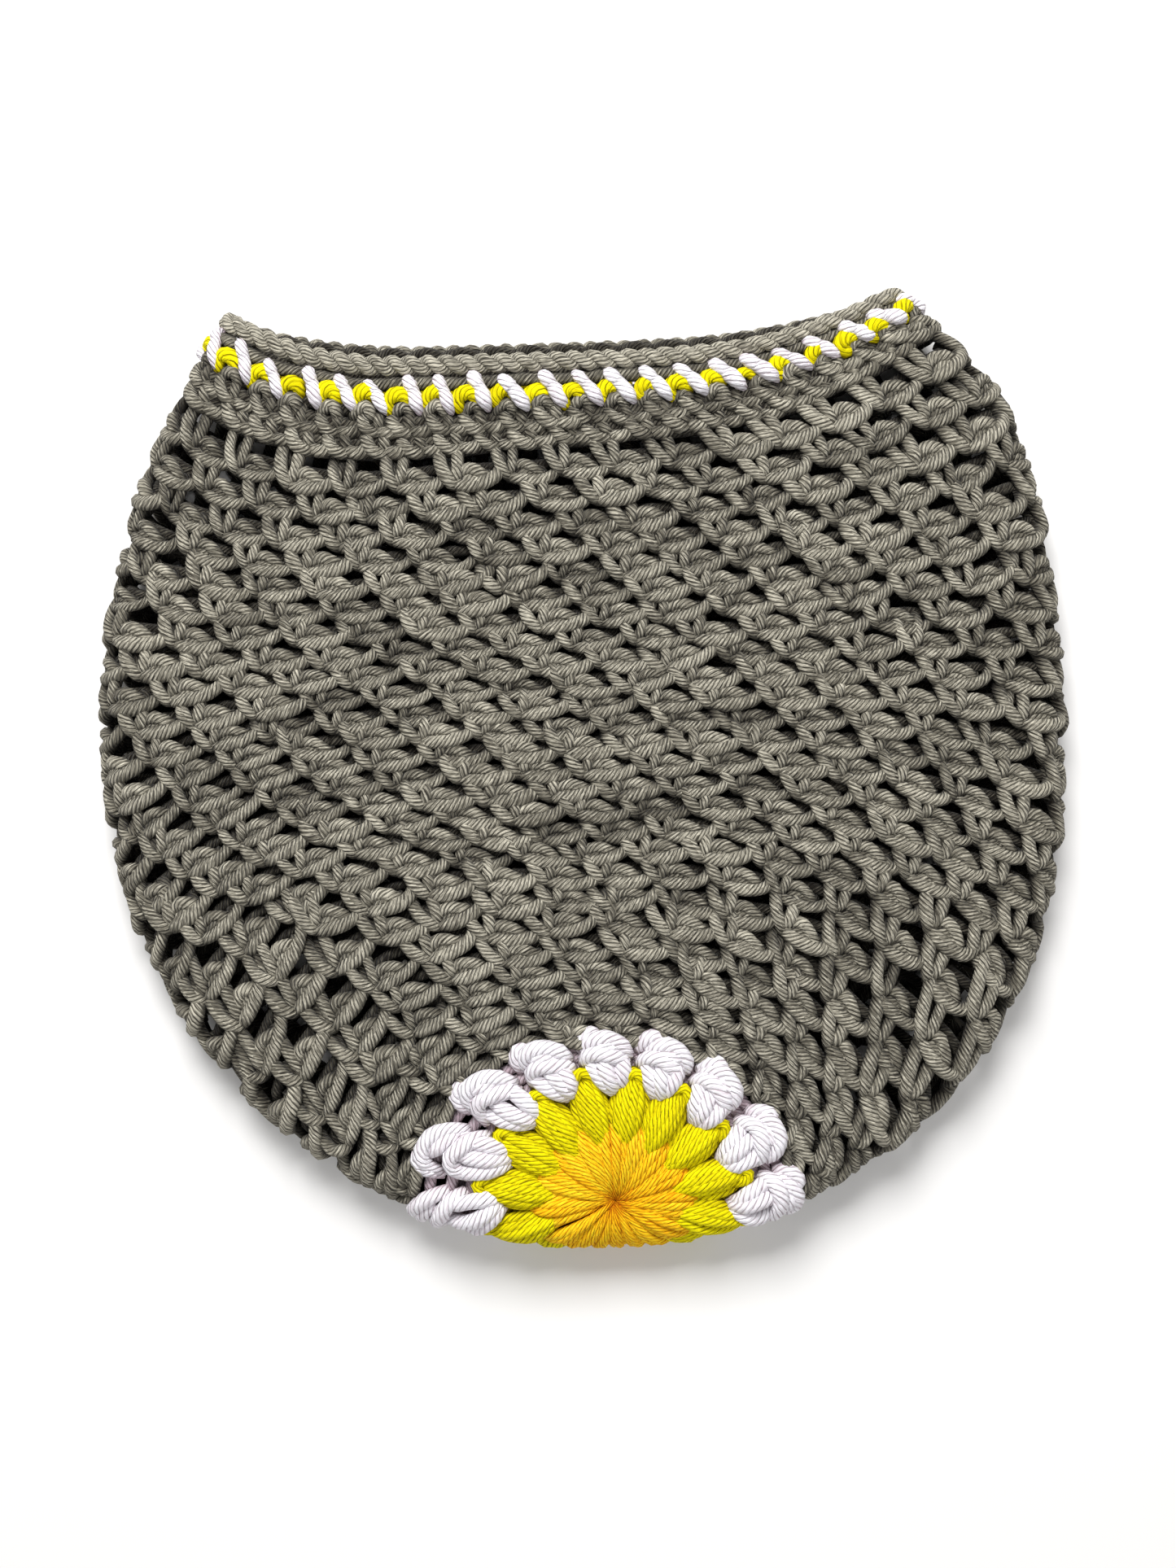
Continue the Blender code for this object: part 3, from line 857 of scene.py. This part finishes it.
def node(tree, kind, **settings):
    """A new shader node with the settings."""
    made = tree.nodes.new(kind)
    for key, value in settings.items():
        setattr(made, key, value)
    return made


def math_node(tree, operation, first, second=None):
    """The output of a sum on numbers and sockets."""
    made = node(tree, "ShaderNodeMath", operation=operation)
    for socket, value in zip(made.inputs, (first, second)):
        if value is None:
            continue
        if isinstance(value, (int, float)):
            socket.default_value = value
        else:
            tree.links.new(value, socket)
    return made.outputs[0]


def fibre_streaks(tree, phase, around, tone):
    """Streaks of fibre that run along each ply, other ones in each strand."""
    layers = []
    for across, run, detail, share in STREAKS:
        place = node(tree, "ShaderNodeCombineXYZ")
        tree.links.new(math_node(tree, "MULTIPLY", phase, across), place.inputs[0])
        tree.links.new(math_node(tree, "MULTIPLY", around, run), place.inputs[1])
        tree.links.new(math_node(tree, "MULTIPLY", tone, STREAK_SHIFT), place.inputs[2])
        noise = node(tree, "ShaderNodeTexNoise")
        noise.inputs["Scale"].default_value = 1.0
        noise.inputs["Detail"].default_value = detail
        tree.links.new(place.outputs[0], noise.inputs["Vector"])
        strong = math_node(tree, "MULTIPLY", noise.outputs[0], STREAK_CONTRAST)
        streak = math_node(tree, "SUBTRACT", strong, STREAK_BASE)
        layers.append(math_node(tree, "MULTIPLY", streak, share))
    return math_node(tree, "ADD", *layers)


def yarn_material(name, light, mid, painted_shade_colour, sheen, ply_step, relief, depth_shade):
    """Twisted plies with streaks of fibre. The colour holds painted shade in the grooves between
    plies and on strands low in the fabric, and the streaks are partly fibre tone, partly painted
    glint.
    """
    made = bpy.data.materials.new(name)
    made.use_nodes = True
    tree = made.node_tree
    shader = tree.nodes["Principled BSDF"]
    shader.inputs["Roughness"].default_value = ROUGHNESS
    shader.inputs["Sheen Weight"].default_value = sheen
    shader.inputs["Sheen Roughness"].default_value = SHEEN_ROUGHNESS
    shader.inputs["Specular IOR Level"].default_value = SPECULAR
    strand = node(tree, "ShaderNodeUVMap", uv_map="strand")
    parts = node(tree, "ShaderNodeSeparateXYZ")
    tree.links.new(strand.outputs[0], parts.inputs[0])
    along = math_node(tree, "DIVIDE", parts.outputs[0], ply_step)
    around = math_node(tree, "MULTIPLY", parts.outputs[1], float(PLIES))
    phase = math_node(tree, "ADD", along, around)
    # The height over one ply, round like a cord
    inside = math_node(tree, "FRACT", phase)
    centred = math_node(tree, "SUBTRACT", math_node(tree, "MULTIPLY", inside, 2.0), 1.0)
    square = math_node(tree, "MULTIPLY", centred, centred)
    ply = math_node(tree, "SQRT", math_node(tree, "SUBTRACT", 1.0, square))
    tone = node(tree, "ShaderNodeAttribute", attribute_name="tone").outputs["Fac"]
    fibre = fibre_streaks(tree, phase, parts.outputs[1], tone)
    height = math_node(tree, "ADD", ply, math_node(tree, "MULTIPLY", fibre, FIBRE_RELIEF))
    bump = node(tree, "ShaderNodeBump")
    bump.inputs["Strength"].default_value = 1.0
    bump.inputs["Distance"].default_value = relief
    tree.links.new(height, bump.inputs["Height"])
    tree.links.new(bump.outputs[0], shader.inputs["Normal"])
    # Painted shade in the grooves, light streaks on top that are partly fibre tone and partly
    # painted glint, and a little change of tone from strand to strand
    ply_shade = math_node(tree, "MULTIPLY", ply, PLY_SHADE)
    fibre_tone_and_glint = math_node(tree, "MULTIPLY", fibre, FIBRE_TONE_AND_GLINT)
    shade = math_node(tree, "ADD", ply_shade, fibre_tone_and_glint)
    shade = math_node(tree, "ADD", shade, math_node(tree, "MULTIPLY", tone, TONE_SHADE))
    # Painted shade: strands that lie deep in the fabric are coloured darker
    clear_of_painted_shade = node(tree, "ShaderNodeAttribute", attribute_name="clear_of_painted_shade")
    painted_shade_share = math_node(tree, "SUBTRACT", 1.0, clear_of_painted_shade.outputs["Fac"])
    shade = math_node(tree, "SUBTRACT", shade, math_node(tree, "MULTIPLY", painted_shade_share, depth_shade))
    # The ramp runs from a painted shade colour through the yarn's own colour to a painted lit
    # colour
    ramp = node(tree, "ShaderNodeValToRGB")
    ramp.color_ramp.elements[0].position = DARK_AT
    ramp.color_ramp.elements[0].color = (*painted_shade_colour, 1)
    ramp.color_ramp.elements[1].position = LIGHT_AT
    ramp.color_ramp.elements[1].color = (*light, 1)
    middle = ramp.color_ramp.elements.new(MID_AT)
    middle.color = (*mid, 1)
    tree.links.new(shade, ramp.inputs[0])
    tree.links.new(ramp.outputs[0], shader.inputs["Base Color"])
    return made


def stretch(reach, height, shares, drawn_height):
    """How many times taller the round is at each share than it was drawn."""
    foot, _ = WALL_SHEET.at(np.full(len(shares), reach), shares, 0.0)
    head, _ = WALL_SHEET.at(np.full(len(shares), reach + height), shares, 0.0)
    tall = np.linalg.norm(head - foot, axis=1) * PHOTO_SCALE / drawn_height
    return np.maximum(tall, 1.0)[:, None]


def lay_round(yarn, reach, height, count, phase, strokes, width, rise, thickness=1.0):
    """One round of stitches, each drawn in pixels about its own place."""
    centres = (np.arange(count) + phase) / count
    taller = stretch(reach, height, centres, rise)
    shift = random.normal(0, 1, (count, 1, 3)) * JITTER
    turn = random.normal(0, STITCH_TURN, (count, 1))
    plump = random.normal(1, STITCH_PLUMP, (count, 1)) * taller**STRETCH_PLUMP
    for table in strokes:
        drawn = stroke(table)[None]
        x = drawn[..., 0] + turn * drawn[..., 1] + shift[..., 0]
        y = drawn[..., 1] - turn * (drawn[..., 0] - width / TURN_ABOUT) + shift[..., 1]
        short = y / taller**STRETCH_KEPT
        y = short + (y - short) * smooth((y - LEG_START) / (LEG_END - LEG_START))
        lift = drawn[..., 2] + shift[..., 2]
        across = centres[:, None] - x / width / count
        paths, outward = WALL_SHEET.at(reach + y / rise * height, across, lift * MM)
        yarn.lay(paths, outward, lift * MM, YARN * thickness * drawn[..., 3] * plump)


def lay_ring(yarn, reach, ring, waves, phase=0.0, painted_shade_lift=0.0):
    """A strand all the way round, waving along the wall and in height.

    Its last argument lessens the painted shade: the strand is coloured as light as one that
    stands so much prouder.
    """
    wave, lift, swell, thickness = ring
    shares = np.linspace(0, 1, RING_SAMPLES * waves, endpoint=False)[None]
    turn = 2 * math.pi * (shares * waves + phase)
    rows = reach + wave * np.sin(turn)
    lifts = (lift + swell * np.cos(turn)) * MM
    paths, outward = WALL_SHEET.at(rows, shares, lifts)
    yarn.lay(paths, outward, lifts + painted_shade_lift, YARN * thickness, closed=True)


def moss_body(finish):
    """The taupe tube, cut into pieces of a few rounds each."""
    phase = 0.0
    yarn = Yarn()
    part = 1
    for index in range(MOSS_ROUNDS):
        reach = MOSS_REACHES[index]
        height = MOSS_REACHES[index + 1] - reach
        grown = smooth(index / GROWING_ROUNDS)
        pairs = round(FIRST_PAIRS + (MOST_PAIRS - FIRST_PAIRS) * grown)
        lay_round(yarn, reach, height, pairs, phase, MOSS_PAIR, PAIR_WIDTH, ROUND_HEIGHT)
        lay_ring(yarn, reach + MOSS_RING_UP * height, MOSS_RING, pairs // PAIRS_A_WAVE)
        phase += ROUND_LEAN + random.normal(0, LEAN_CHANGE)
        if yarn.count > POINT_LIMIT or index == MOSS_ROUNDS - 1:
            yarn.piece(f"moss_rounds_{part}", finish, "taupe_yarn", "bag_body")
            yarn = Yarn()
            part += 1


def collar(finish):
    """Two rounds of single crochet between the moss stitch and the stripe."""
    yarn = Yarn()
    height = COLLAR_WIDTH / 2
    for index in range(2):
        reach = BODY_REACH + index * height + COLLAR_START
        stitches = (SINGLE_STITCH, SINGLE_PITCH, SINGLE_HEIGHT, COLLAR_PLUMP)
        lay_round(yarn, reach, height, STITCH_COUNT, COLLAR_LEAN * index, *stitches)
        for up in COLLAR_RING_UPS:
            lay_ring(yarn, reach + height * up, COLLAR_RING, RING_WAVES)
    yarn.piece("collar_rounds", finish, "taupe_yarn", "collar_band")


def stripe(yellow, white, taupe):
    """Slanting white stitches with a yellow arch and a taupe bump between each two."""
    pinch = MOUTH_REACH - RIM_WIDTH - PINCH_BELOW_RIM
    pixel = 1 / PHOTO_SCALE
    for name, finish, slot, node_name, table in (
        ("stripe_arches", yellow, "yellow_yarn", "stripe_band", YELLOW_ARCH),
        ("stripe_heads", white, "white_yarn", "stripe_stitches", WHITE_STITCH),
        ("stripe_bumps", taupe, "taupe_yarn", "stripe_band", TAUPE_BUMP),
    ):
        yarn = Yarn()
        lay_round(yarn, pinch, pixel, STITCH_COUNT, STRIPE_PHASE, (table,), SINGLE_PITCH, 1.0)
        if finish is taupe:
            for up, ring in STRIPE_RINGS:
                lay_ring(yarn, pinch + up, ring, RING_WAVES)
        yarn.piece(name, finish, slot, node_name)


def rim(finish):
    """The braid of two strands round the mouth."""
    yarn = Yarn()
    middle = MOUTH_REACH - RIM_BELOW_MOUTH
    for phase in (0.0, 0.5):
        lay_ring(yarn, middle, RIM_STRAND, RIM_TURNS, phase, RIM_PAINTED_SHADE_LIFT)
    lay_ring(yarn, middle - RIM_FILLING_DROP, RIM_FILLING, RIM_TURNS, 0.25, RIM_PAINTED_SHADE_LIFT)
    yarn.piece("rim_braid", finish, "taupe_yarn", "rim_edge")


def lay_petals(yarn, drawn, turn, unevenness=1.0):
    """The same strand in each of the petals. `drawn` is mm across, mm out, height, thickness."""
    count = PUFF_COUNT
    angle = (turn + 2 * math.pi * np.arange(count) / count)[:, None]
    shift = random.normal(0, unevenness, (count, 1, 3)) * PETAL_JITTER
    across = (drawn[None, :, 0] + shift[..., 0]) * MM
    out = (drawn[None, :, 1] + shift[..., 1]) * MM
    x = out * np.cos(angle) + across * np.sin(angle)
    y = out * np.sin(angle) - across * np.cos(angle)
    spread = about_pole(np.hypot(x, y), np.arctan2(y, x))
    lifts = (drawn[None, :, 2] + shift[..., 2]) * MM
    paths, outward = FLOWER_SHEET.at(spread[..., 1], spread[..., 0], lifts)
    yarn.lay(paths, outward, lifts, FLOWER_YARN * drawn[None, :, 3])


def backing(yarn, radii):
    """Plain rings behind the petals, so that no light falls through."""
    turn = np.linspace(0, 2 * math.pi, BACKING_SAMPLES, endpoint=False)[None]
    for radius in radii:
        spread = about_pole(np.full_like(turn, radius * MM), turn)
        lifts = np.full_like(turn, BACKING_LIFT * MM)
        paths, outward = FLOWER_SHEET.at(spread[..., 1], spread[..., 0], lifts)
        yarn.lay(paths, outward, lifts, YARN, closed=True)


def lay_bundle(yarn, table, strands, half_width, drop, turn):
    """Strands side by side in each petal, lower at the bundle's sides."""
    shape = stroke(table)
    for side in np.linspace(-1, 1, strands):
        drawn = shape.copy()
        drawn[:, 0] *= side * half_width
        drawn[:, 2] -= drop * side * side * smooth(shape[:, 2])
        lay_petals(yarn, drawn, turn)


def flower(orange, yellow, white):
    """The eye's strands, the puffs about it and the clusters between their tips."""
    half_turn = math.pi / PUFF_COUNT
    eye = Yarn()
    lay_bundle(eye, EYE_SHAPE, EYE_STRANDS, EYE_HALF_WIDTH, EYE_DROP, PUFF_TURN + half_turn)
    backing(eye, EYE_BACKING)
    eye.piece("eye_strands", orange, "orange_yarn", "flower_centre")

    puffs = Yarn()
    lay_bundle(puffs, PUFF_SHAPE, PUFF_STRANDS, PUFF_HALF_WIDTH, PUFF_DROP, PUFF_TURN)
    lay_petals(puffs, stroke(PUFF_TIP), PUFF_TURN)
    backing(puffs, PUFF_BACKING)
    puffs.piece("petal_strands", yellow, "yellow_yarn", "petal_ring")

    clusters = Yarn()
    for table in CLUSTER:
        drawn = stroke(table) * [CLUSTER_WIDTH, 1, 1, CLUSTER_PLUMP]
        lay_petals(clusters, drawn, PUFF_TURN - half_turn, CLUSTER_UNEVENNESS)
    backing(clusters, CLUSTER_BACKING)
    clusters.piece("cluster_strands", white, "white_yarn", "cluster_ring")


def stage():
    """The floor, which is not part of the bag, and the light from all round."""
    size = FLOOR_HALF_SIDE
    mesh = bpy.data.meshes.new("floor")
    corners = [(-size, -size, 0), (size, -size, 0), (size, size, 0), (-size, size, 0)]
    mesh.from_pydata(corners, [], [(0, 1, 2, 3)])
    floor = bpy.data.objects.new("floor", mesh)
    bpy.context.scene.collection.objects.link(floor)
    made = bpy.data.materials.new("floor_paint")
    made.use_nodes = True
    shader = made.node_tree.nodes["Principled BSDF"]
    shader.inputs["Base Color"].default_value = FLOOR_COLOUR
    shader.inputs["Roughness"].default_value = FLOOR_ROUGHNESS
    mesh.materials.append(made)
    world = bpy.data.worlds.new("soft_light")
    world.use_nodes = True
    world.node_tree.nodes["Background"].inputs[0].default_value = (1, 1, 1, 1)
    world.node_tree.nodes["Background"].inputs[1].default_value = AIR_LIGHT
    bpy.context.scene.world = world


def lamps():
    """Soft square lamps that shine at the bag."""
    for name, place, width, power in LAMPS:
        lamp = bpy.data.lights.new(name, "AREA")
        lamp.energy = power
        lamp.size = width
        lamp_object = bpy.data.objects.new(name, lamp)
        lamp_object.location = place
        direction = -np.array(place)
        yaw = math.atan2(direction[1], direction[0])
        tilt = math.atan2(math.hypot(*direction[:2]), -direction[2])
        lamp_object.rotation_euler = (tilt, 0, yaw - math.pi / 2)
        bpy.context.scene.collection.objects.link(lamp_object)


def overhead_camera():
    """The photograph's view, straight down."""
    camera = bpy.data.cameras.new("overhead")
    camera.lens = LENS
    camera_object = bpy.data.objects.new("overhead", camera)
    camera_object.location = CAMERA_PLACE
    bpy.context.scene.collection.objects.link(camera_object)
    bpy.context.scene.camera = camera_object
    bpy.context.scene.view_settings.view_transform = "Standard"


# Each yarn: its painted lit colour, its own colour, its painted shade colour, then sheen
taupe_yarn = yarn_material(
    "taupe_yarn",
    (0.62, 0.58, 0.47),
    (0.170, 0.155, 0.120),
    (0.012, 0.009, 0.006),
    0.06,
    ply_step=0.00092,
    relief=0.0006,
    depth_shade=0.44,
)
# The white's middle and shade colours lean pink: painted shade with a painted pink reflection in
# it
white_yarn = yarn_material(
    "white_yarn",
    (0.94, 0.93, 0.97),
    (0.86, 0.81, 0.86),
    (0.56, 0.43, 0.48),
    0.10,
    ply_step=0.0013,
    relief=0.0004,
    depth_shade=0.45,
)
yellow_yarn = yarn_material(
    "yellow_yarn",
    (0.95, 0.86, 0.002),
    (0.74, 0.63, 0.0),
    (0.24, 0.17, 0.0),
    0.0,
    ply_step=0.0015,
    relief=0.0004,
    depth_shade=0.40,
)
orange_yarn = yarn_material(
    "orange_yarn",
    (1.0, 0.74, 0.02),
    (1.0, 0.52, 0.005),
    (0.62, 0.17, 0.0),
    0.0,
    ply_step=0.0015,
    relief=0.0004,
    depth_shade=0.40,
)
moss_body(taupe_yarn)
collar(taupe_yarn)
stripe(yellow_yarn, white_yarn, taupe_yarn)
rim(taupe_yarn)
flower(orange_yarn, yellow_yarn, white_yarn)
stage()
lamps()
overhead_camera()
